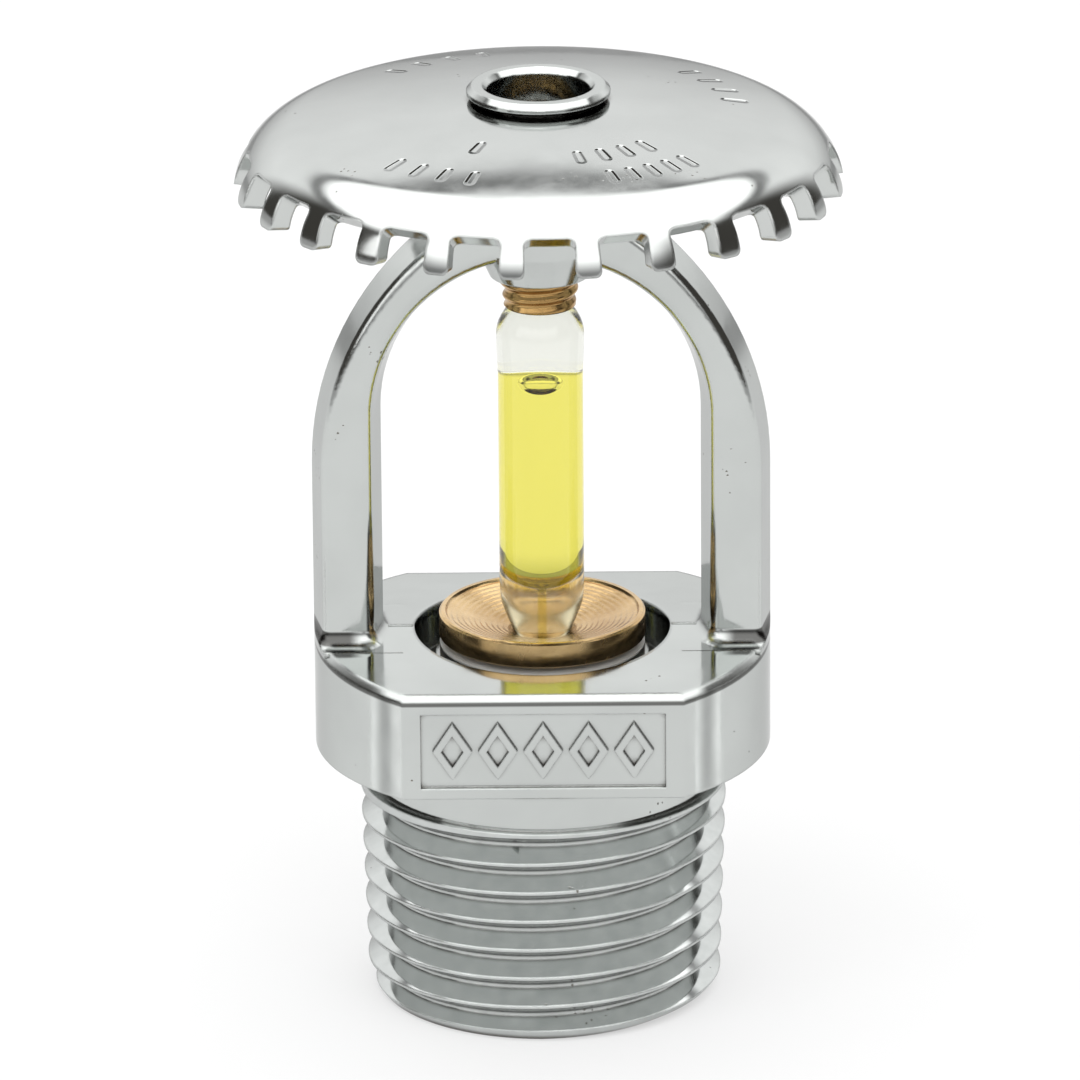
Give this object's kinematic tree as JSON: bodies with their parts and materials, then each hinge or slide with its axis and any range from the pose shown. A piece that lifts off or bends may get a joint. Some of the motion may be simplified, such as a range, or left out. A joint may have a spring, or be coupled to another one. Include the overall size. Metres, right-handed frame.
{
  "type": "fire sprinkler head",
  "caption": "Upright glass-bulb fire sprinkler head: chromed frame with taper thread and wrench flats, domed toothed deflector, brass button and screw",
  "frame": {"origin": "centre of the inlet end face, on the thread axis", "axes": "+Z from the inlet to the deflector, X along the two frame arms, the wrench flat with the relief panel faces -Y"},
  "size_m": [0.0356, 0.0356, 0.0558],
  "materials": {
    "chrome_casting": "bright chrome plate over a polished brass casting",
    "chrome_sheet": "bright chrome plate over stamped sheet",
    "screw_brass": "plain machined brass",
    "bulb_glass": "clear fire-polished glass",
    "yellow_fluid": "clear yellow liquid",
    "button_brass": "fine-turned brass",
    "spring_steel": "plain spring metal",
    "seal_film": "smooth white PTFE film"
  },
  "bodies": {
    "frame_body": {"frame": "chrome_casting", "deflector": "chrome_sheet"},
    "valve_stack": {"button": "button_brass", "disc_spring": "spring_steel", "upper_seal_film": "seal_film", "lower_seal_film": "seal_film", "bulb_glass": "bulb_glass", "bulb_fluid": "yellow_fluid"},
    "screw": {"compression_screw": "screw_brass"}
  },
  "joints": [
    {"name": "valve_lift", "type": "slide", "parent": "frame_body", "child": "valve_stack", "axis": [0, 0, 1], "range_m": [0, 0.0024]},
    {"name": "screw_turn", "type": "hinge", "parent": "valve_stack", "child": "screw", "pos_m": [0, 0, 0.047], "axis": [0, 0, 1], "range_deg": [0, 1080]}
  ],
  "couplings": [
    {"joint": "screw_turn", "follows": "valve_lift", "rad_per_m": 7854}
  ]
}
